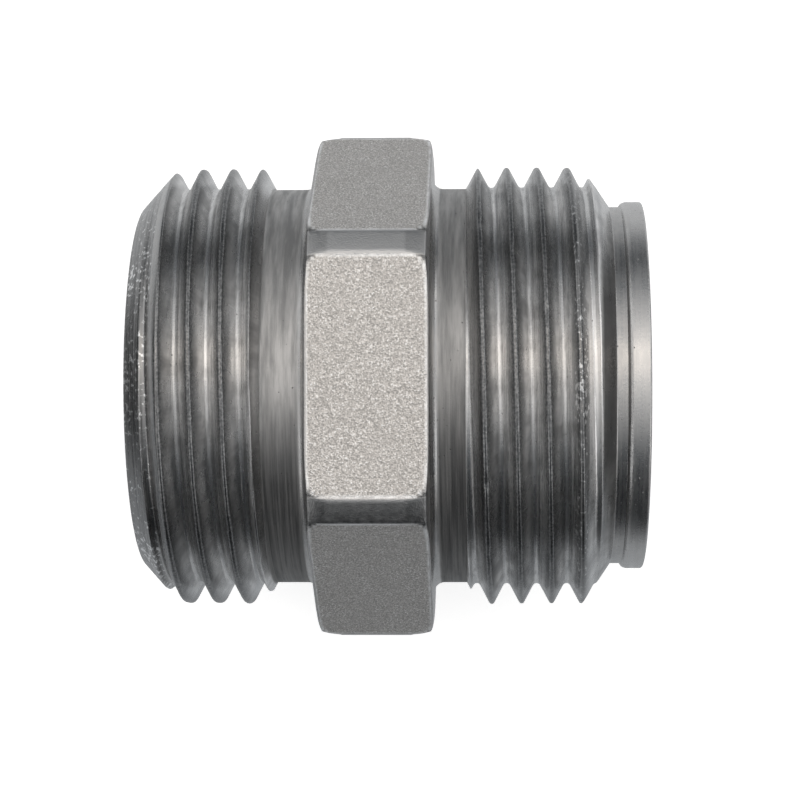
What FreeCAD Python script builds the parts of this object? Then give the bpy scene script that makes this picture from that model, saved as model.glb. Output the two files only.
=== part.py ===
"""Hex nipple: one piece of turned metal, with a hexagon between two male pipe threads and a nose.

The bore axis is X. The hexagon is centred on the origin, with two of its flats facing up and down,
so the fitting rests on a flat. The plain threaded end points to -X and the nose to +X.
"""

import FreeCAD, Part
import math
import os

import Sketcher

# Millimetres and degrees. Each length along the axis is counted from the hexagon's nearer face.
SIZES = {
    "across_flats": 27.0,
    "hexagon_width": 7.0,
    "corner_radius": 1.8,
    "corner_diameter": 30.4,  # the corners are turned down to this
    "hexagon_face_diameter": 27.4,  # where the turned rounding of each face starts
    "hexagon_break_diameter": 29.3,  # where its two flats meet
    "hexagon_break_depth": 0.2,
    "hexagon_land_depth": 0.7,
    "neck_fillet": 0.65,
    "thread_diameter": 26.441,  # G 3/4 parallel pipe thread, 14 turns to the inch
    "thread_minor_diameter": 24.117,
    "thread_pitch": 1.814,
    "thread_angle": 55.0,
    "thread_root_radius": 0.249,
    "neck_diameter": 24.0,
    "bore_diameter": 16.0,
    "mouth_chamfer": 1.2,
    "plain_end_length": 10.5,
    "plain_end_neck": 2.6,
    "plain_end_rim_diameter": 21.9,
    "plain_end_angle": 48.0,
    "plain_end_space": -5.94,  # a space between crests, straight out along +Y from the axis
    "nose_end_length": 10.65,
    "nose_end_neck": 2.0,
    "nose_end_angle": 56.0,
    "nose_end_space": 5.2,
    "relief_width": 0.65,  # the shallow groove between the thread's chamfer and the nose
    "relief_diameter": 21.7,
    "nose_length": 1.3,
    "nose_diameter": 22.3,
    "nose_back_diameter": 22.0,
    "nose_flare": 0.35,  # the length over which the nose widens behind its cylinder
    "nose_edge": 0.15,
}
PLAIN_FACE = "(-sizes.hexagon_width / 2 - sizes.plain_end_length)"
SHOULDER = "(sizes.hexagon_width / 2 + sizes.nose_end_length)"
NOSE_BACK = f"({SHOULDER} + sizes.relief_width)"
NOSE_FACE = f"({NOSE_BACK} + sizes.nose_length)"
THREAD_RADIUS = "(sizes.thread_diameter / 2)"
NECK_RADIUS = "(sizes.neck_diameter / 2)"
BORE_RADIUS = "(sizes.bore_diameter / 2)"
CLEAR_OF_ALL = 20.0  # a radius beyond every corner


def make_sheet(doc):
    """The driving sizes, one named cell each."""
    sheet = doc.addObject("Spreadsheet::Sheet", "sizes")
    for row, (alias, value) in enumerate(SIZES.items(), start=1):
        sheet.set(f"A{row}", alias)
        sheet.set(f"B{row}", str(value))
        sheet.setAlias(f"B{row}", alias)
    doc.recompute()
    return sheet


def make_body(doc, name):
    body = doc.addObject("PartDesign::Body", name)
    body.Label = name
    return body


def outline(body, name, plane, corners, arc=None):
    """A closed sketch on one of the body's origin planes, with each corner bound to two expressions.

    arc, if given, is (number of the side, a point on it, its radius): that side is an arc, not a line.
    """
    sheet = body.Document.getObject("sizes")
    sketch = body.newObject("Sketcher::SketchObject", name)
    support = next(f for f in body.Origin.OriginFeatures if f.Role == plane)
    sketch.AttachmentSupport = (support, "")
    sketch.MapMode = "FlatFace"

    def place(corner):
        return FreeCAD.Vector(*(float(sheet.evalExpression(words)) for words in corner), 0)

    places = [place(corner) for corner in corners]
    for side, start in enumerate(places):
        end = places[(side + 1) % len(places)]
        if arc and side == arc[0]:
            sketch.addGeometry(Part.Arc(start, place(arc[1]), end))
        else:
            sketch.addGeometry(Part.LineSegment(start, end))

    def starts_at(side):
        """The point of the side that is its first corner: an arc drawn clockwise is stored from its end."""
        clockwise = sketch.getPoint(side, 1).distanceToPoint(places[side]) > 1e-6
        return 2 if clockwise else 1

    for side, corner in enumerate(corners):
        before = (side - 1) % len(corners)
        first = starts_at(side)
        sketch.addConstraint(
            Sketcher.Constraint("Coincident", before, 3 - starts_at(before), side, first)
        )
        for kind, words, value in zip(("DistanceX", "DistanceY"), corner, places[side]):
            number = sketch.addConstraint(Sketcher.Constraint(kind, -1, 1, side, first, value))
            sketch.setExpression(f"Constraints[{number}]", words)
    if arc:
        radius = float(sheet.evalExpression(arc[2]))
        number = sketch.addConstraint(Sketcher.Constraint("Radius", arc[0], radius))
        sketch.setExpression(f"Constraints[{number}]", arc[2])
    return sketch


def turned(body, kind, name, sketch):
    """A full turn of the sketch about the bore axis: a Revolution adds it, a Groove cuts it away."""
    feature = body.newObject(f"PartDesign::{kind}", name)
    feature.Profile = sketch
    feature.ReferenceAxis = (sketch, ["H_Axis"])
    feature.Angle = 360
    return feature


def add_hexagon(body):
    """The hexagon: rounded corners, turned down a little, with a two-step chamfer at both faces."""
    doc = body.Document
    corners = [
        (f"sizes.across_flats / sqrt(3) * cos({turn} deg)", f"sizes.across_flats / sqrt(3) * sin({turn} deg)")
        for turn in range(0, 360, 60)
    ]
    pad = body.newObject("PartDesign::Pad", "hexagon")
    pad.Profile = outline(body, "hexagon_outline", "YZ_Plane", corners)
    pad.Midplane = True
    pad.setExpression("Length", "sizes.hexagon_width")
    doc.recompute()

    across_corners = SIZES["across_flats"] / math.sqrt(3)
    along_axis = [
        f"Edge{number}"
        for number, edge in enumerate(pad.Shape.Edges, start=1)
        if abs(edge.BoundBox.XLength - SIZES["hexagon_width"]) < 1e-6
        and abs(math.hypot(edge.CenterOfMass.y, edge.CenterOfMass.z) - across_corners) < 1e-6
    ]
    rounding = body.newObject("PartDesign::Fillet", "hexagon_corners")
    rounding.Base = (pad, along_axis)
    rounding.setExpression("Radius", "sizes.corner_radius")

    face = "sizes.hexagon_width / 2"
    start = "sizes.hexagon_face_diameter / 2"
    middle = "sizes.hexagon_break_diameter / 2"
    land = "sizes.corner_diameter / 2"
    turned_away = [
        (f"-{face}", start),
        (f"-{face}", str(CLEAR_OF_ALL)),
        (face, str(CLEAR_OF_ALL)),
        (face, start),
        (f"{face} - sizes.hexagon_break_depth", middle),
        (f"{face} - sizes.hexagon_land_depth", land),
        (f"-{face} + sizes.hexagon_land_depth", land),
        (f"-{face} + sizes.hexagon_break_depth", middle),
    ]
    turned(body, "Groove", "hexagon_turning", outline(body, "turned_away", "XY_Plane", turned_away))


def add_shank(body):
    """Both threaded ends at their full diameter, with the necks, the end chamfers, the relief and nose."""
    doc = body.Document
    flank = "tan(sizes.thread_angle / 2 * 1 deg)"
    lead = f"({THREAD_RADIUS} - {NECK_RADIUS}) * {flank}"
    plain_neck = "(-sizes.hexagon_width / 2 - sizes.plain_end_neck)"
    nose_neck = "(sizes.hexagon_width / 2 + sizes.nose_end_neck)"
    rim = "sizes.plain_end_rim_diameter / 2"
    relief = "sizes.relief_diameter / 2"
    nose = "sizes.nose_diameter / 2"
    plain_chamfer = f"({THREAD_RADIUS} - {rim}) / tan(sizes.plain_end_angle * 1 deg)"
    nose_chamfer = f"({THREAD_RADIUS} - {relief}) / tan(sizes.nose_end_angle * 1 deg)"
    corners = [
        (PLAIN_FACE, "0"),
        (PLAIN_FACE, rim),
        (f"{PLAIN_FACE} + {plain_chamfer}", THREAD_RADIUS),
        (f"{plain_neck} - {lead}", THREAD_RADIUS),
        (plain_neck, NECK_RADIUS),
        (nose_neck, NECK_RADIUS),
        (f"{nose_neck} + {lead}", THREAD_RADIUS),
        (f"{SHOULDER} - {nose_chamfer}", THREAD_RADIUS),
        (SHOULDER, relief),
        (NOSE_BACK, relief),
        (NOSE_BACK, "sizes.nose_back_diameter / 2"),
        (f"{NOSE_BACK} + sizes.nose_flare", nose),
        (f"{NOSE_FACE} - sizes.nose_edge", nose),
        (NOSE_FACE, f"{nose} - sizes.nose_edge"),
        (NOSE_FACE, "0"),
    ]
    shank = turned(body, "Revolution", "shank", outline(body, "shank_outline", "XY_Plane", corners))
    doc.recompute()

    half_width = SIZES["hexagon_width"] / 2
    inner_corners = [
        f"Edge{number}"
        for number, edge in enumerate(shank.Shape.Edges, start=1)
        if hasattr(edge.Curve, "Radius")
        and abs(edge.Curve.Radius - SIZES["neck_diameter"] / 2) < 1e-6
        and abs(abs(edge.CenterOfMass.x) - half_width) < 1e-6
    ]
    rounding = body.newObject("PartDesign::Fillet", "neck_fillets")
    rounding.Base = (shank, inner_corners)
    rounding.setExpression("Radius", "sizes.neck_fillet")


def cut_thread(body, name, first_space, length):
    """Cut the right-hand spaces between crests, over length along the axis from the first space's middle.

    The space has straight flanks and a round root, and goes on outwards past the thread's crests.
    """
    half_angle = "(sizes.thread_angle / 2 * 1 deg)"
    root = "sizes.thread_root_radius"
    minor = "sizes.thread_minor_diameter / 2"
    tangent_radius = f"({minor} + {root} - {root} * sin{half_angle})"
    tangent_half = f"({root} * cos{half_angle})"
    crest_half = f"({tangent_half} + ({THREAD_RADIUS} - {tangent_radius}) * tan{half_angle})"
    outside = f"{THREAD_RADIUS} + 0.4"
    corners = [
        (f"{first_space} + {crest_half}", outside),
        (f"{first_space} - {crest_half}", outside),
        (f"{first_space} - {crest_half}", THREAD_RADIUS),
        (f"{first_space} - {tangent_half}", tangent_radius),
        (f"{first_space} + {tangent_half}", tangent_radius),
        (f"{first_space} + {crest_half}", THREAD_RADIUS),
    ]
    sketch = outline(body, f"{name}_space", "XY_Plane", corners, arc=(3, (first_space, minor), root))
    helix = body.newObject("PartDesign::SubtractiveHelix", name)
    helix.Profile = sketch
    helix.ReferenceAxis = (sketch, ["H_Axis"])
    helix.Mode = "pitch-height-angle"
    helix.setExpression("Pitch", "sizes.thread_pitch")
    helix.setExpression("Height", length)
    helix.Angle = 0
    helix.LeftHanded = False
    helix.Reversed = False
    return helix


def bore_through(body):
    """The straight bore, with a chamfered mouth at each end."""
    mouth = f"{BORE_RADIUS} + sizes.mouth_chamfer"
    corners = [
        (PLAIN_FACE, "0"),
        (PLAIN_FACE, mouth),
        (f"{PLAIN_FACE} + sizes.mouth_chamfer", BORE_RADIUS),
        (f"{NOSE_FACE} - sizes.mouth_chamfer", BORE_RADIUS),
        (NOSE_FACE, mouth),
        (NOSE_FACE, "0"),
    ]
    return turned(body, "Groove", "bore", outline(body, "bore_outline", "XY_Plane", corners))


def make_nipple_body(doc):
    body = make_body(doc, "nipple_body")
    add_hexagon(body)
    add_shank(body)
    doc.recompute()
    for name, first_space, length in (
        ("plain_end_thread", "(sizes.plain_end_space - 5 * sizes.thread_pitch)", "5.75 * sizes.thread_pitch"),
        ("nose_end_thread", "sizes.nose_end_space", "5.75 * sizes.thread_pitch"),
    ):
        before = body.Shape.Volume
        cut_thread(body, name, first_space, length)
        doc.recompute()
        print(name, "cuts", round(before - body.Shape.Volume, 1), "cubic mm")
    bore_through(body)
    return body


def check(doc, body):
    """Stop if any object of the document failed, or the body isn't one good solid."""
    for item in doc.Objects:
        if {"Invalid", "Error"} & set(item.State):
            raise RuntimeError(f"{item.Name} failed: {item.State}")
    shape = body.Shape
    if shape.isNull() or not shape.isValid() or len(shape.Solids) != 1:
        raise RuntimeError(f"{body.Label} has no good shape")
    print(body.Label, "volume", round(shape.Volume, 1), "box", shape.BoundBox)


def main():
    os.makedirs("parts", exist_ok=True)
    doc = FreeCAD.newDocument("hex_nipple")
    make_sheet(doc)
    body = make_nipple_body(doc)
    doc.recompute()
    check(doc, body)
    body.Shape.exportStep(f"parts/{body.Label}.step")


main()
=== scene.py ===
"""The looks of the hex nipple: a nickel-plated fitting on a pale floor, seen from above.

The bore axis is X, the hexagon rests on a flat, and the camera looks down with +X to the right.
Shapes are worked out in millimetres and scaled to metres as they become meshes.
"""

import math

import bpy
import numpy as np
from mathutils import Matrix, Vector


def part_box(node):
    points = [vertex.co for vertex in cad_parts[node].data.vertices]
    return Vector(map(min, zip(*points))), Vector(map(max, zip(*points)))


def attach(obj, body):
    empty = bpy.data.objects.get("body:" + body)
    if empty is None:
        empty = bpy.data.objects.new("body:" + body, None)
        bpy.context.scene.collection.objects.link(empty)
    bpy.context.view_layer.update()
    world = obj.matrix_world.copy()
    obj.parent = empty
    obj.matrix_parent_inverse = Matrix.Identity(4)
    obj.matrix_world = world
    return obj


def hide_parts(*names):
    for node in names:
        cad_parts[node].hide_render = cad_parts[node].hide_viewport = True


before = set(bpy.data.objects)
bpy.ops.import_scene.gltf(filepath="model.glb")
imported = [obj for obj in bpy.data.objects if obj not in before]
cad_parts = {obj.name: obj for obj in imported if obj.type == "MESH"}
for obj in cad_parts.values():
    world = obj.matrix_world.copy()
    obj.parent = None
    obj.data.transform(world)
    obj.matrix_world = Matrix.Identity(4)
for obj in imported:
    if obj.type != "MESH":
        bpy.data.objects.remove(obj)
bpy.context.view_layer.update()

MM = 0.001
FULL_TURN = 2 * math.pi

# Hexagon
ACROSS_FLATS = 27.0
HALF_WIDTH = 3.5
CORNER_RADIUS = 1.8
CORNER_DIAMETER = 30.4
ROUNDING_DEPTH = 0.62  # the turned rounding of each face
ROUNDING_RISE = 1.75
ROUNDING_POWER = 3.0
RUBBED_DEPTH = 1.3  # the softer rubbing of the corners
RUBBED_RISE = 0.28
RUBBED_POWER = 1.5
EDGE_ROUND = 0.08
EDGE_BLEND = 0.16

# Rings of vertices on the hexagon: depths from each face, radii on the face, and steps across the flats
FACE_EDGE_DEPTHS = np.array(
    [0.0, 0.01, 0.03, 0.06, 0.1, 0.14, 0.18, 0.22, 0.27, 0.32]
    + [0.38, 0.44, 0.5, 0.56, 0.64, 0.72, 0.82, 0.94, 1.08, 1.22]
)
TURNED_DEPTHS = 5  # how many of those lie on the edge itself, which is turned metal
FACE_RADII = (12.75, 12.9, 13.05)
FLAT_INSET = 1.4
FLAT_STEP = 0.42

# Thread, G 3/4
THREAD_RADIUS = 13.2205
THREAD_ROOT = 12.0585
THREAD_PITCH = 1.814
ROOT_ROUND = 0.249
CREST_ROUND = 0.17
HALF_FLANK = math.radians(27.5)
THREAD_STEP = 0.07  # between rings of vertices
RUN_OUT_BLEND = 0.12

# Places along the axis, and radii
NECK_RADIUS = 12.0
NECK_FILLET = 0.65
PLAIN_NECK = -HALF_WIDTH - 2.6
NOSE_NECK = HALF_WIDTH + 2.0
PLAIN_RIM = 10.95
PLAIN_SLOPE = math.tan(math.radians(48))
NOSE_SLOPE = math.tan(math.radians(56))
PLAIN_SPACE = -5.94
NOSE_SPACE = 5.2
SHOULDER = HALF_WIDTH + 10.65
RELIEF_RADIUS = 10.85
NOSE_BACK = SHOULDER + 0.65
NOSE_BACK_RADIUS = 11.0
NOSE_RADIUS = 11.15
NOSE_FLARE = 0.35
FLARE_POWER = 1.6
NOSE_EDGE = 0.15
BORE_RADIUS = 8.0
MOUTH = 1.2
DEBURR = 0.08

# Wear of the thread crests
CREST_WEAR = 0.03
DENTS = 46
DENT_PLACES = ((-13.2, -6.5), (6.0, 13.4))
DENT_SIZES = (0.12, 0.3)
DENT_DEPTH = 0.45  # against its size
DENT_SQUASH = 0.6  # a distance round the thread counts for less, so that dents are longer that way

BODY_LOW, BODY_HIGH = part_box("nipple_body")
PLAIN_FACE = BODY_LOW.x / MM
NOSE_FACE = BODY_HIGH.x / MM

# Regions that the materials treat in their own way: widths along X, and how softly they end
CHAMFER_WIDTH = 1.6
CHAMFER_FADE = 0.4
SHOULDER_WIDTH = 1.65
LAST_CREST = 2.5  # from the shoulder back to the start of the last crest
LAST_CREST_SHARE = 0.7
MARGIN = 0.02
NECK_MARGIN = 0.04
# The painted highlight rim round each flat, and the painted shade on the turned metal beside it
RIM_INSET = 0.12
RIM_FADE = 0.11
RIM_PEAK = 1.3
TURNED_EDGE_FADE = 0.06

# Studio
FLOOR_SIZE = 3.0
FLOOR_GLOW = 0.6
ROOM_WARMTH = 0.08  # bright light is warmer, dim light cooler
ROOM_NEUTRAL = 0.9
SIDE_DIM = 0.3
SIDE_BRIGHT = 1.25
FAR_END = 0.14

TURNED, FLAT, BORE = range(3)

# Turns round the hexagon: half a side, how far a corner's rounding reaches, and a hair's breadth
HALF_SIDE = math.pi / 6
CORNER_TURN = HALF_SIDE - math.atan((1 - 2 * CORNER_RADIUS / ACROSS_FLATS) * math.tan(HALF_SIDE))
HAIR = 0.002


# ---------------------------------------------------------------- shapes


def turns_round_hexagon():
    """Angles from +Y towards +Z, closer together where the hexagon's corners are rounded."""
    rim = math.radians(0.5)
    corner = np.linspace(-CORNER_TURN, CORNER_TURN, 15)
    side = np.linspace(CORNER_TURN + rim, 2 * HALF_SIDE - CORNER_TURN - rim, 38)
    return np.concatenate([part + k * FULL_TURN / 6 for k in range(6) for part in (corner, side)])


TURNS = turns_round_hexagon()


def smaller(a, b, blend):
    """The smaller of the two, with the crease between them rounded over."""
    near = np.maximum(blend - np.abs(a - b), 0) / blend
    return np.minimum(a, b) - near**2 * blend / 4


def quarter_round(depth, radius):
    """How far a rounded edge lies below the sharp one, at a depth from the edge's face."""
    return radius - np.sqrt(radius**2 - np.maximum(radius - depth, 0) ** 2)


def turn_from_corner(turns):
    """The angle to the nearest corner of the hexagon."""
    return np.abs((turns + HALF_SIDE) % (2 * HALF_SIDE) - HALF_SIDE)


def hexagon_reach(turns):
    """How far the hexagon reaches in each direction, with its rounded and turned corners."""
    from_corner = turn_from_corner(turns)
    from_flat = HALF_SIDE - from_corner
    apothem = ACROSS_FLATS / 2
    centre = (apothem - CORNER_RADIUS) / math.cos(HALF_SIDE)
    inside = np.maximum(CORNER_RADIUS**2 - (centre * np.sin(from_corner)) ** 2, 0)
    rounded = centre * np.cos(from_corner) + np.sqrt(inside)
    on_flat = apothem * np.tan(from_flat) <= (apothem - CORNER_RADIUS) * math.tan(HALF_SIDE)
    return np.minimum(np.where(on_flat, apothem / np.cos(from_flat), rounded), CORNER_DIAMETER / 2)


def turned_drop(depth):
    """How far the turned rounding of a face lies inside the corner diameter, at a depth from the face."""
    down = max(1 - depth / ROUNDING_DEPTH, 0)
    return ROUNDING_RISE * (1 - (1 - down**ROUNDING_POWER) ** (1 / ROUNDING_POWER))


def rubbed_drop(depth):
    """The same for the softer rubbing of the corners, which reaches further in."""
    return RUBBED_RISE * max(1 - depth / RUBBED_DEPTH, 0) ** RUBBED_POWER


def hexagon_radius(x, turns):
    """The hexagon's outside: flats, faces turned round towards the corners, and rounded edges."""
    depth = HALF_WIDTH - abs(x)
    if depth >= RUBBED_DEPTH:
        return hexagon_reach(turns)
    rounding = CORNER_DIAMETER / 2 - max(turned_drop(depth), rubbed_drop(depth))
    return smaller(hexagon_reach(turns), rounding, EDGE_BLEND) - quarter_round(depth, EDGE_ROUND)


def thread_radius(x, turns, space):
    """The thread's form, with round roots and crests: space is where a gap between crests meets +Y."""
    along = (x - space) / THREAD_PITCH - turns / FULL_TURN
    from_root = np.abs(along - np.round(along)) * THREAD_PITCH
    from_crest = THREAD_PITCH / 2 - from_root
    root_reach = ROOT_ROUND * math.cos(HALF_FLANK)
    root_top = THREAD_ROOT + ROOT_ROUND * (1 - math.sin(HALF_FLANK))
    flank = root_top + (from_root - root_reach) / math.tan(HALF_FLANK)
    root = THREAD_ROOT + ROOT_ROUND - np.sqrt(ROOT_ROUND**2 - np.minimum(from_root, root_reach) ** 2)
    crest_reach = CREST_ROUND * math.cos(HALF_FLANK)
    crest_foot = root_top + (THREAD_PITCH / 2 - crest_reach - root_reach) / math.tan(HALF_FLANK)
    crest_centre = crest_foot - CREST_ROUND * math.sin(HALF_FLANK)
    crest = crest_centre + np.sqrt(CREST_ROUND**2 - np.minimum(from_crest, crest_reach) ** 2)
    return np.where(from_root < root_reach, root, np.where(from_crest < crest_reach, crest, flank))


def plain_end_radius(x, turns):
    envelope = min(
        PLAIN_RIM + (x - PLAIN_FACE) * PLAIN_SLOPE,
        NECK_RADIUS + (PLAIN_NECK - x) / math.tan(HALF_FLANK),
    )
    form = smaller(thread_radius(x, turns, PLAIN_SPACE), envelope, RUN_OUT_BLEND)
    return form - quarter_round(x - PLAIN_FACE, DEBURR)


def nose_end_radius(x, turns):
    envelope = min(
        RELIEF_RADIUS + (SHOULDER - x) * NOSE_SLOPE,
        NECK_RADIUS + (x - NOSE_NECK) / math.tan(HALF_FLANK),
    )
    form = smaller(thread_radius(x, turns, NOSE_SPACE), envelope, RUN_OUT_BLEND)
    return np.maximum(form, RELIEF_RADIUS)


def steps(start, end, step):
    return np.linspace(start, end, max(int(round(abs(end - start) / step)), 1) + 1)


class Profile:
    """The stations of a closed turned surface: each is one radius for every angle, at one place along X."""

    def __init__(self):
        self.x, self.radius, self.band = [], [], []

    def add(self, x, radius, band=TURNED):
        """A station; band is the material of the strip of faces that comes after it."""
        self.x.append(x)
        self.radius.append(np.broadcast_to(radius, TURNS.shape).copy())
        self.band.append(band)

    def run(self, places, radius_at, band=TURNED):
        for x in places:
            self.add(x, radius_at(x, TURNS), band)

    def line(self, points, band=TURNED):
        for x, radius in points:
            self.add(x, radius, band)


def body_profile():
    """From the bore's plain mouth along the outside to the nose, and back through the bore."""
    p = Profile()
    p.line([(PLAIN_FACE + 0.02, BORE_RADIUS + MOUTH - 0.04), (PLAIN_FACE, BORE_RADIUS + MOUTH + 0.05)])
    p.line([(PLAIN_FACE, r) for r in steps(BORE_RADIUS + MOUTH + 0.3, PLAIN_RIM - DEBURR - 0.02, 0.4)])
    p.run(PLAIN_FACE + DEBURR * np.array([0.0, 0.1, 0.3, 0.6]), plain_end_radius)
    p.run(steps(PLAIN_FACE + DEBURR, PLAIN_NECK, THREAD_STEP), plain_end_radius)

    bends = steps(0, math.pi / 2, 0.2)
    fillet = [(NECK_FILLET * (1 - math.sin(a)), NECK_FILLET * (1 - math.cos(a))) for a in bends]
    p.line([(x, NECK_RADIUS) for x in steps(PLAIN_NECK + 0.1, -HALF_WIDTH - NECK_FILLET - 0.1, 0.35)])
    p.line([(-HALF_WIDTH - gap, NECK_RADIUS + rise) for gap, rise in fillet])
    p.line([(-HALF_WIDTH, r) for r in FACE_RADII])

    on_edge, inside = np.split(FACE_EDGE_DEPTHS, [TURNED_DEPTHS])
    across = steps(FLAT_INSET - HALF_WIDTH, HALF_WIDTH - FLAT_INSET, FLAT_STEP)
    p.run(on_edge - HALF_WIDTH, hexagon_radius, TURNED)
    p.run(np.concatenate([inside - HALF_WIDTH, across, HALF_WIDTH - inside[::-1]]), hexagon_radius, FLAT)
    p.run(HALF_WIDTH - on_edge[::-1], hexagon_radius, TURNED)

    p.line([(HALF_WIDTH, r) for r in reversed(FACE_RADII)])
    p.line([(HALF_WIDTH + gap, NECK_RADIUS + rise) for gap, rise in reversed(fillet)])
    p.line([(x, NECK_RADIUS) for x in steps(HALF_WIDTH + NECK_FILLET + 0.1, NOSE_NECK - 0.1, 0.35)])
    p.run(steps(NOSE_NECK, SHOULDER, THREAD_STEP), nose_end_radius)

    p.line([(x, RELIEF_RADIUS) for x in steps(SHOULDER + 0.05, NOSE_BACK - 0.05, 0.14)])
    p.line([(NOSE_BACK - 0.01, RELIEF_RADIUS + 0.02), (NOSE_BACK, NOSE_BACK_RADIUS - 0.04)])
    p.line([(NOSE_BACK + gap, NOSE_BACK_RADIUS - 0.04 + gap) for gap in (0.01, 0.03)])
    for x in steps(NOSE_BACK + 0.06, NOSE_BACK + NOSE_FLARE, 0.07):
        flare = (NOSE_BACK + NOSE_FLARE - x) / NOSE_FLARE
        p.add(x, NOSE_RADIUS - (NOSE_RADIUS - NOSE_BACK_RADIUS) * flare**FLARE_POWER)
    p.line([(x, NOSE_RADIUS) for x in steps(NOSE_BACK + NOSE_FLARE + 0.1, NOSE_FACE - NOSE_EDGE, 0.12)])
    for depth in NOSE_EDGE * np.array([0.8, 0.6, 0.4, 0.2, 0.08, 0.0]):
        p.add(NOSE_FACE - depth, NOSE_RADIUS - quarter_round(depth, NOSE_EDGE))
    p.line([(NOSE_FACE, r) for r in steps(NOSE_RADIUS - NOSE_EDGE - 0.1, BORE_RADIUS + MOUTH + 0.05, 0.4)])

    p.line([(NOSE_FACE - 0.02, BORE_RADIUS + MOUTH - 0.04)], BORE)
    p.line([(NOSE_FACE - MOUTH + rise, BORE_RADIUS + rise) for rise in (0.8, 0.4, 0.05)], BORE)
    p.line([(x, BORE_RADIUS) for x in steps(NOSE_FACE - MOUTH - 0.05, PLAIN_FACE + MOUTH + 0.05, 1.5)], BORE)
    p.line([(PLAIN_FACE + MOUTH - rise, BORE_RADIUS + rise) for rise in (0.05, 0.4, 0.8)], BORE)
    return p


def turned_mesh(name, profile, shape_radius):
    """A closed mesh through the profile's stations, with smooth faces, in metres."""
    x = np.array(profile.x)[:, None] + np.zeros_like(TURNS)
    radius = shape_radius(x, np.array(profile.radius))
    points = np.stack([x, radius * np.cos(TURNS), radius * np.sin(TURNS)], axis=-1) * MM
    stations, around = radius.shape
    here = np.arange(stations * around).reshape(stations, around)
    next_round = np.roll(here, -1, axis=1)
    next_along = np.roll(here, -1, axis=0)
    corner = np.roll(next_along, -1, axis=1)
    faces = np.stack([here, next_along, corner, next_round], axis=-1).reshape(-1, 4)

    mesh = bpy.data.meshes.new(name)
    mesh.from_pydata(points.reshape(-1, 3).tolist(), [], faces.tolist())
    mesh.polygons.foreach_set("use_smooth", np.ones(len(faces), bool))
    band = np.repeat(np.array(profile.band, np.int32)[:, None], around, axis=1)
    mesh.polygons.foreach_set("material_index", band.ravel())
    mesh.update()
    piece = bpy.data.objects.new(name, mesh)
    bpy.context.scene.collection.objects.link(piece)
    return piece, x, radius


def waves(x, turns, seed, count, across, around):
    """Smooth made-up variation between about -1 and 1, the same each time, without a seam."""
    random = np.random.default_rng(seed)
    total = np.zeros(np.broadcast(x, turns).shape)
    for _ in range(count):
        along = random.normal(0, across)
        circling = random.integers(0, around)
        total += np.sin(along * x + circling * turns + random.uniform(0, FULL_TURN))
    return total / math.sqrt(count)


def worn(x, radius):
    """The body's small faults: thread crests that are not quite even, and a few dents on them."""
    on_thread = ((x > PLAIN_FACE + 0.6) & (x < PLAIN_NECK)) | ((x > NOSE_NECK) & (x < SHOULDER - 0.4))
    height = np.clip((radius - THREAD_ROOT) / (THREAD_RADIUS - THREAD_ROOT), 0, 1)
    uneven = 1 + waves(x, TURNS, seed=3, count=12, across=1.2, around=24)
    radius = radius - on_thread * height * CREST_WEAR * uneven
    random = np.random.default_rng(11)
    for _ in range(DENTS):
        place = random.choice([random.uniform(*ends) for ends in DENT_PLACES])
        turn = random.uniform(0, FULL_TURN)
        size = random.uniform(*DENT_SIZES)
        apart = (TURNS - turn + math.pi) % FULL_TURN - math.pi
        distance = np.hypot(x - place, apart * THREAD_RADIUS * DENT_SQUASH)
        radius = radius - on_thread * height**2 * DENT_DEPTH * size * np.exp(-((distance / size) ** 2))
    return radius


def point_values(piece, name, values):
    attribute = piece.data.attributes.new(name, "FLOAT", "POINT")
    attribute.data.foreach_set("value", np.ascontiguousarray(values, np.float32).ravel())


# ---------------------------------------------------------------- materials


class Tree:
    """A node tree, with short calls for the nodes that the materials and the room share."""

    def __init__(self, tree):
        self.tree = tree

    def put(self, socket, value):
        if isinstance(value, bpy.types.NodeSocket):
            self.tree.links.new(value, socket)
        else:
            socket.default_value = value

    def math(self, operation, first, second=0.0):
        node = self.tree.nodes.new("ShaderNodeMath")
        node.operation = operation
        self.put(node.inputs[0], first)
        self.put(node.inputs[1], second)
        return node.outputs[0]

    def times(self, first, second):
        return self.math("MULTIPLY", first, second)

    def split(self, vector):
        node = self.tree.nodes.new("ShaderNodeSeparateXYZ")
        self.put(node.inputs[0], vector)
        return node.outputs

    def join(self, x, y, z):
        node = self.tree.nodes.new("ShaderNodeCombineXYZ")
        for socket, value in zip(node.inputs, (x, y, z)):
            self.put(socket, value)
        return node.outputs[0]

    def levels(self, value, low, high, to_low=0.0, to_high=1.0, smooth=False):
        """The value mapped from low..high to to_low..to_high, and held at both ends."""
        node = self.tree.nodes.new("ShaderNodeMapRange")
        node.interpolation_type = "SMOOTHSTEP" if smooth else "LINEAR"
        names = ("Value", "From Min", "From Max", "To Min", "To Max")
        for name, setting in zip(names, (value, low, high, to_low, to_high)):
            self.put(node.inputs[name], setting)
        return node.outputs[0]

    def mix(self, share, first, second):
        """The first colour, turning into the second as the share goes from 0 to 1."""
        node = self.tree.nodes.new("ShaderNodeMix")
        node.data_type = "RGBA"
        self.put(node.inputs["Factor"], share)
        self.put(node.inputs[6], first)
        self.put(node.inputs[7], second)
        return node.outputs[2]


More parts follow.
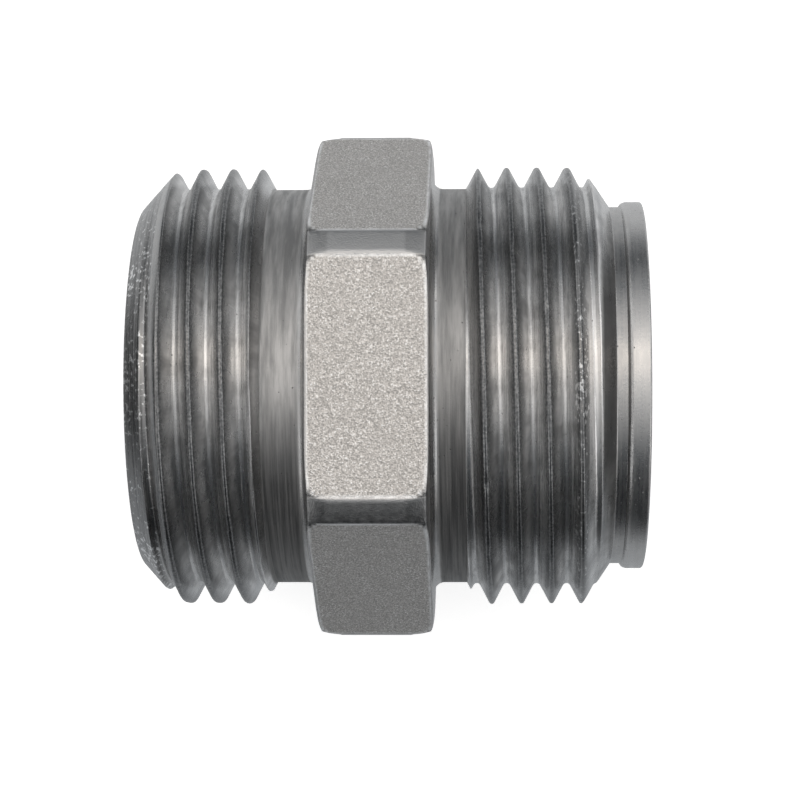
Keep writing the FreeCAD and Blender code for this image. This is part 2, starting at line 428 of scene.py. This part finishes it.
class Surface(Tree):
    """A material. Its textures lie in millimetres on the object: x along the bore, turn round it."""

    def __init__(self, name):
        self.material = bpy.data.materials.new(name)
        self.material.use_nodes = True
        super().__init__(self.material.node_tree)
        self.shader = self.tree.nodes["Principled BSDF"]
        scaled = self.tree.nodes.new("ShaderNodeVectorMath")
        scaled.operation = "SCALE"
        self.put(scaled.inputs[0], self.tree.nodes.new("ShaderNodeTexCoord").outputs["Object"])
        self.put(scaled.inputs["Scale"], 1 / MM)
        self.place = scaled.outputs[0]
        self.x, self.y, self.z = self.split(self.place)
        self.turn = self.math("ARCTAN2", self.z, self.y)
        squares = self.math("ADD", self.math("POWER", self.y, 2.0), self.math("POWER", self.z, 2.0))
        self.radius = self.math("SQRT", squares)

    def set(self, name, value):
        self.put(self.shader.inputs[name], value)

    def around(self, across, along):
        """A place that changes fast across the turning marks and slowly along them, without a seam."""
        side = self.times(self.math("COSINE", self.turn), along)
        front = self.times(self.math("SINE", self.turn), along)
        path = self.math("ADD", self.x, self.times(self.radius, 0.45))
        return self.join(self.times(path, across), side, front)

    def noise(self, place, scale, detail, roughness=0.55):
        node = self.tree.nodes.new("ShaderNodeTexNoise")
        self.put(node.inputs["Vector"], place)
        self.put(node.inputs["Scale"], scale)
        self.put(node.inputs["Detail"], detail)
        self.put(node.inputs["Roughness"], roughness)
        return node.outputs["Fac"]

    def cells(self, place, scale):
        node = self.tree.nodes.new("ShaderNodeTexVoronoi")
        self.put(node.inputs["Vector"], place)
        self.put(node.inputs["Scale"], scale)
        return node.outputs["Distance"]

    def blend(self, pattern, low, high, first, second):
        """Between two colours, as a pattern goes from low to high."""
        return self.mix(self.levels(pattern, low, high), first, second)

    def attribute(self, name):
        node = self.tree.nodes.new("ShaderNodeAttribute")
        node.attribute_name = name
        return node.outputs["Fac"]

    def bump(self, height, distance_mm, normal=None):
        node = self.tree.nodes.new("ShaderNodeBump")
        self.put(node.inputs["Height"], height)
        node.inputs["Distance"].default_value = distance_mm * MM
        if normal is not None:
            self.put(node.inputs["Normal"], normal)
        return node.outputs["Normal"]


def grey(level, warmth=0.0):
    """A colour of that linear level, warmer above 0 and cooler below."""
    return (level * (1 + warmth), level, level * (1 - warmth), 1)


def thread_colour(n, streaks, smears, grain):
    """Darker crests, bright streaked flanks with dark smears, and painted shade in the roots."""
    crest = n.blend(grain, 0.4, 0.65, grey(0.14, -0.02), grey(0.28))
    flank = n.blend(streaks, 0.35, 0.65, grey(0.42, -0.01), grey(0.86, 0.01))
    flank = n.mix(n.levels(smears, 0.5, 0.68, 0.0, 0.45), flank, grey(0.2))
    depth = n.attribute("depth")
    # painted shade: the deepest part of each root is darkened
    flank = n.mix(n.levels(depth, 0.82, 1.0, 0.0, 0.2), flank, grey(0.3))
    return n.blend(depth, 0.1, 0.6, crest, flank)


def neck_colour(n, streaks):
    """The necks, with painted light and shade: pale and blotchy towards +Y, dark and streaked towards -Y."""
    blotches = n.noise(n.around(2.2, 2.5), 1.0, 4.0, 0.6)
    pale = n.blend(blotches, 0.38, 0.62, grey(0.34), grey(0.6, 0.01))
    dark = n.blend(streaks, 0.38, 0.62, grey(0.14), grey(0.3, 0.01))
    # painted shade: the pale share ends further up and is a little weaker on the right-hand neck
    shifted = n.math("SUBTRACT", n.y, n.levels(n.x, -1.0, 1.0, 0.0, 2.0))
    share = n.times(n.levels(shifted, -6.0, -0.5), n.levels(n.x, -1.0, 1.0, 1.0, 0.8))
    return n.mix(share, dark, pale)


def shoulder_painted_light(n, colour):
    """The nose end's cone: a painted highlight on its upper half, and painted shade on its lower half, both
    strongest in the middle.
    """
    on_shoulder = n.attribute("shoulder")
    upper = n.levels(n.x, SHOULDER - 0.95, SHOULDER - 0.75, 1.0, 0.0)
    from_middle = n.math("ABSOLUTE", n.y)
    # painted highlight on the cone's upper half
    bright = n.times(upper, n.levels(from_middle, 3.5, 8.0, 0.8, 0.1))
    colour = n.mix(n.times(on_shoulder, bright), colour, grey(0.78, 0.01))
    # painted shade on the cone's lower half
    dark = n.times(n.math("SUBTRACT", 1.0, upper), n.levels(from_middle, 4.5, 7.5, 0.9, 0.1))
    return n.mix(n.times(on_shoulder, dark), colour, grey(0.1))


def turned_nickel():
    """Nickel over turned metal: turning marks, streaks along them, stains, pits, darker crests, and painted
    light and shade.
    """
    n = Surface("turned_nickel")
    streaks = n.noise(n.around(7.0, 1.6), 1.0, 4.0, 0.6)
    fine = n.noise(n.around(26.0, 5.0), 1.0, 2.0, 0.5)
    smears = n.noise(n.around(3.2, 9.0), 1.0, 3.0, 0.6)
    stains = n.noise(n.place, 0.9, 4.0, 0.65)
    grain = n.noise(n.place, 7.0, 2.0, 0.6)
    pits = n.levels(n.cells(n.place, 1.9), 0.03, 0.09, 1.0, 0.0)
    patches = n.levels(n.noise(n.place, 0.22, 2.0, 0.5), 0.42, 0.6)
    specks = n.times(n.noise(n.place, 3.6, 2.0, 0.6), n.math("ADD", 0.85, n.times(patches, 0.15)))
    on_chamfer = n.attribute("chamfer")
    on_neck = n.attribute("neck")

    colour = n.blend(stains, 0.35, 0.65, grey(0.36, -0.01), grey(0.44, 0.015))
    colour = n.mix(n.levels(streaks, 0.35, 0.7, 0.0, 0.6), colour, grey(0.52, 0.02))
    colour = n.mix(n.attribute("thread"), colour, thread_colour(n, streaks, smears, grain))
    dull = n.blend(streaks, 0.35, 0.65, grey(0.1), grey(0.34))
    speckled = n.blend(specks, 0.52, 0.6, dull, grey(1.0))
    colour = n.mix(n.times(on_chamfer, 0.75), colour, speckled)
    # the necks' painted light and shade
    colour = n.mix(n.times(on_neck, 0.85), colour, neck_colour(n, streaks))
    # the cone's painted highlight and shade
    colour = shoulder_painted_light(n, colour)
    colour = n.mix(n.times(n.attribute("nose"), 0.65), colour, grey(0.6, 0.01))
    n.set("Base Color", n.mix(n.times(pits, 0.7), colour, grey(0.05)))

    rough = n.levels(n.math("ADD", streaks, smears), 0.7, 1.3, 0.2, 0.36)
    n.set("Metallic", 1.0)
    n.set("Roughness", n.math("ADD", rough, n.times(on_neck, 0.3)))
    bumps = n.bump(fine, 0.005)
    bumps = n.bump(streaks, 0.02, bumps)
    bumps = n.bump(grain, 0.008, bumps)
    bumps = n.bump(n.times(specks, on_chamfer), 0.008, bumps)
    n.set("Normal", n.bump(pits, -0.02, bumps))
    return n.material


def blasted_nickel():
    """The hexagon's flats: the same nickel over a blasted, sparkling grain, with smoother corners, a painted
    highlight rim, and painted shade beside it and on one corner.
    """
    n = Surface("blasted_nickel")
    grain = n.noise(n.place, 5.5, 3.0, 0.7)
    sparkle = n.noise(n.place, 11.0, 1.0, 0.5)
    stains = n.noise(n.place, 0.5, 3.0, 0.6)
    corner = n.attribute("corner")
    beside_flat = n.times(n.attribute("turned_edge"), n.math("SUBTRACT", 1.0, n.times(corner, 0.75)))

    colour = n.blend(sparkle, 0.34, 0.66, grey(0.38, 0.04), grey(0.74, 0.04))
    colour = n.blend(sparkle, 0.62, 0.74, colour, grey(1.0))
    colour = n.mix(n.levels(stains, 0.4, 0.7, 0.0, 0.3), colour, grey(0.52, 0.04))
    colour = n.mix(corner, colour, grey(0.55))
    # painted shade: the turned metal beside each flat is darkened, less so round the corners
    colour = n.mix(beside_flat, colour, grey(0.2))
    # painted shade: one corner strip, on the -Y side towards +Z, is darkened in blotches
    painted_shade_side = n.times(n.levels(n.y, -9.0, -6.0, 1.0, 0.0), n.levels(n.z, 4.0, 8.0))
    painted_shade_blotches = n.blend(n.noise(n.place, 2.5, 4.0, 0.65), 0.4, 0.65, grey(0.07), grey(0.3))
    colour = n.mix(n.times(corner, painted_shade_side), colour, painted_shade_blotches)
    # painted highlight: the rim round each flat is lightened, patchily
    rim_highlight_share = n.levels(n.noise(n.place, 1.3, 3.0, 0.6), 0.35, 0.6, 0.35, 0.95)
    n.set("Base Color", n.mix(n.times(n.attribute("rim"), rim_highlight_share), colour, grey(0.97)))

    rough = n.levels(grain, 0.3, 0.7, 0.48, 0.36)
    n.set("Metallic", 1.0)
    n.set("Roughness", n.math("SUBTRACT", rough, n.times(beside_flat, 0.15)))
    coarse = n.times(grain, n.math("SUBTRACT", 1.0, n.times(corner, 0.85)))
    n.set("Normal", n.bump(sparkle, 0.015, n.bump(coarse, 0.05)))
    return n.material


def bored_nickel():
    """Inside the bore the plating is thin: a warmer, duller metal with coarse boring marks."""
    n = Surface("bored_nickel")
    marks = n.noise(n.around(5.0, 1.0), 1.0, 4.0, 0.6)
    stains = n.noise(n.place, 0.6, 4.0, 0.6)
    colour = n.blend(stains, 0.35, 0.7, grey(0.34, 0.05), (0.40, 0.34, 0.24, 1))
    n.set("Base Color", n.mix(n.levels(marks, 0.4, 0.8, 0.0, 0.35), colour, grey(0.16, 0.05)))
    n.set("Metallic", 1.0)
    n.set("Roughness", n.levels(marks, 0.3, 0.7, 0.32, 0.5))
    n.set("Normal", n.bump(marks, 0.05))
    return n.material


def pale_floor():
    n = Surface("pale_floor")
    n.set("Base Color", n.blend(n.noise(n.place, 0.02, 2.0), 0.3, 0.7, grey(0.90), grey(0.94)))
    n.set("Roughness", 0.9)
    n.set("Specular IOR Level", 0.1)
    n.set("Emission Color", grey(1.0))
    n.set("Emission Strength", FLOOR_GLOW)
    return n.material


# ---------------------------------------------------------------- the object


def flat_edges(x):
    """The painted highlight rim along the outline of each flat, and the turned metal outside its two long
    sides, which the flats' material darkens as painted shade.
    """
    drop = CORNER_DIAMETER / 2 - hexagon_reach(TURNS) + np.zeros_like(x)
    up = np.clip(1 - drop / ROUNDING_RISE, 0, 1)
    turned_edge = ROUNDING_DEPTH * (1 - (1 - up**ROUNDING_POWER) ** (1 / ROUNDING_POWER))
    rubbed_edge = RUBBED_DEPTH * (1 - np.clip(drop / RUBBED_RISE, 0, 1) ** (1 / RUBBED_POWER))
    inwards = HALF_WIDTH - np.abs(x) - np.maximum(turned_edge, rubbed_edge)
    along_sides = np.clip(RIM_PEAK - np.abs(inwards - RIM_INSET) / RIM_FADE, 0, 1)
    along_ends = np.abs(turn_from_corner(TURNS) - CORNER_TURN) < HAIR
    on_flat = (turn_from_corner(TURNS) > CORNER_TURN - HAIR) & (inwards > MARGIN)
    rim = np.where(on_flat, np.maximum(along_sides, along_ends), 0)
    outside = np.clip(0.5 - inwards / TURNED_EDGE_FADE, 0, 1) * (np.abs(x) < HALF_WIDTH)
    return rim, outside


def mark_regions(piece, x, radius):
    """The point values that tell the materials which part of the body they are on."""
    chamfer_end = PLAIN_FACE + (THREAD_RADIUS - PLAIN_RIM) / PLAIN_SLOPE
    on_plain_end = np.clip((x - chamfer_end) / CHAMFER_FADE + 0.5, 0, 1) * (x < PLAIN_NECK)
    on_nose_end = (x > NOSE_NECK) & (x < SHOULDER)
    plain_side = (x >= PLAIN_NECK) & (x <= -HALF_WIDTH)
    nose_side = (x >= HALF_WIDTH) & (x <= NOSE_NECK)
    depth = np.clip((THREAD_RADIUS - radius) / (THREAD_RADIUS - THREAD_ROOT), 0, 1)
    on_chamfer = (x > PLAIN_FACE + MARGIN) & (x < PLAIN_FACE + CHAMFER_WIDTH) & (radius > PLAIN_RIM - DEBURR)
    last_crest = (x > SHOULDER - LAST_CREST) & (x < SHOULDER - SHOULDER_WIDTH) & (depth < 0.5)
    rim, turned_edge = flat_edges(x)
    point_values(piece, "thread", on_plain_end + on_nose_end)
    point_values(piece, "depth", depth)
    point_values(piece, "neck", (plain_side | nose_side) & (radius < NECK_RADIUS + NECK_MARGIN))
    point_values(piece, "chamfer", on_chamfer + LAST_CREST_SHARE * last_crest)
    point_values(piece, "shoulder", (x > SHOULDER - SHOULDER_WIDTH) & (x < SHOULDER - MARGIN))
    point_values(piece, "nose", x >= NOSE_BACK)
    # the painted highlight rim, and the turned metal that gets painted shade
    point_values(piece, "rim", rim)
    point_values(piece, "turned_edge", turned_edge)
    point_values(piece, "corner", (turn_from_corner(TURNS) < CORNER_TURN - HAIR) + np.zeros_like(x))


def make_body():
    piece, x, radius = turned_mesh("nipple_shell", body_profile(), worn)
    mark_regions(piece, x, radius)
    for material in (turned_nickel(), blasted_nickel(), bored_nickel()):
        piece.data.materials.append(material)
    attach(piece, "root")
    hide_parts("nipple_body")


# ---------------------------------------------------------------- studio


# How bright the room is, by direction: degrees from straight up, turning about X towards +Y.
# A wide softbox hangs a little behind the object, and the room beside it falls off into the dark.
# Below the horizon this stands in for the floor, which reflections don't see.
ROOM = (
    (-120, 0.45),
    (-100, 0.04),
    (-60, 0.05),
    (-40, 0.2),
    (0, 1.0),
    (15, 1.8),
    (30, 1.0),
    (65, 0.3),
    (80, 0.1),
    (95, 0.2),
    (115, 0.7),
)


def make_floor():
    """A wide pale sheet under the object, left out of reflections in it."""
    mesh = bpy.data.meshes.new("floor")
    reach = FLOOR_SIZE / 2
    corners = [(-reach, -reach, 0), (reach, -reach, 0), (reach, reach, 0), (-reach, reach, 0)]
    mesh.from_pydata(corners, [], [(0, 1, 2, 3)])
    mesh.materials.append(pale_floor())
    floor = bpy.data.objects.new("floor", mesh)
    floor.location = (0, 0, BODY_LOW.z)
    floor.visible_glossy = False
    bpy.context.scene.collection.objects.link(floor)


def graded_ramp(tree, turn):
    """The room's light by its turn about X, as ROOM says."""
    ramp = tree.tree.nodes.new("ShaderNodeValToRGB")
    tree.put(ramp.inputs[0], tree.levels(turn, -math.pi, math.pi))
    stops = ramp.color_ramp.elements
    for degrees, level in ROOM:
        stops.new(degrees / 360 + 0.5).color = grey(level, ROOM_WARMTH * (level - ROOM_NEUTRAL))
    stops.remove(stops[-1])
    stops.remove(stops[0])
    return ramp.outputs[0]


def make_room():
    """The room that lights the object: ROOM overhead, a soft box on either side, and dark far ends.

    Only the camera sees it as plain white.
    """
    world = bpy.data.worlds.new("studio")
    bpy.context.scene.world = world
    world.use_nodes = True
    tree = Tree(world.node_tree)
    new = world.node_tree.nodes.new
    x, y, z = tree.split(new("ShaderNodeTexCoord").outputs["Generated"])
    overhead = graded_ramp(tree, tree.math("ARCTAN2", y, z))

    strip = tree.times(
        tree.levels(z, 0.0, 0.3, smooth=True),
        tree.levels(z, 0.55, 0.8, 1.0, 0.0, smooth=True),
    )
    side_light = tree.levels(strip, 0.0, 1.0, SIDE_DIM, SIDE_BRIGHT, smooth=True)
    to_side = tree.levels(tree.math("ABSOLUTE", x), 0.5, 0.66, smooth=True)
    above = tree.levels(z, -0.35, 0.0, smooth=True)
    light = tree.mix(tree.times(to_side, above), overhead, side_light)

    left_end = tree.levels(x, -0.96, -0.82, FAR_END, 1.0, smooth=True)
    right_end = tree.levels(x, 0.82, 0.96, 1.0, FAR_END, smooth=True)
    right_open = tree.levels(z, -0.25, 0.0, smooth=True)
    strength = tree.times(left_end, tree.math("MAXIMUM", right_end, right_open))

    lit = world.node_tree.nodes["Background"]
    tree.put(lit.inputs["Color"], light)
    tree.put(lit.inputs["Strength"], strength)
    pale = new("ShaderNodeBackground")
    tree.put(pale.inputs["Color"], grey(1.0))
    seen = new("ShaderNodeMixShader")
    tree.put(seen.inputs[0], new("ShaderNodeLightPath").outputs["Is Camera Ray"])
    tree.put(seen.inputs[1], lit.outputs[0])
    tree.put(seen.inputs[2], pale.outputs[0])
    tree.put(world.node_tree.nodes["World Output"].inputs["Surface"], seen.outputs[0])


def make_camera():
    """Close above the object, and not quite straight over it."""
    data = bpy.data.cameras.new("camera")
    data.sensor_width = 36.0
    data.lens = 109.85
    data.clip_start = 0.01
    data.clip_end = 10
    camera = bpy.data.objects.new("camera", data)
    camera.location = (0.00682, -0.00627, 0.14938)
    camera.rotation_euler = (0.03606, 0.03622, -0.0015)
    bpy.context.scene.collection.objects.link(camera)
    bpy.context.scene.camera = camera


make_camera()
make_body()
make_floor()
make_room()
bpy.context.scene.view_settings.view_transform = "Standard"
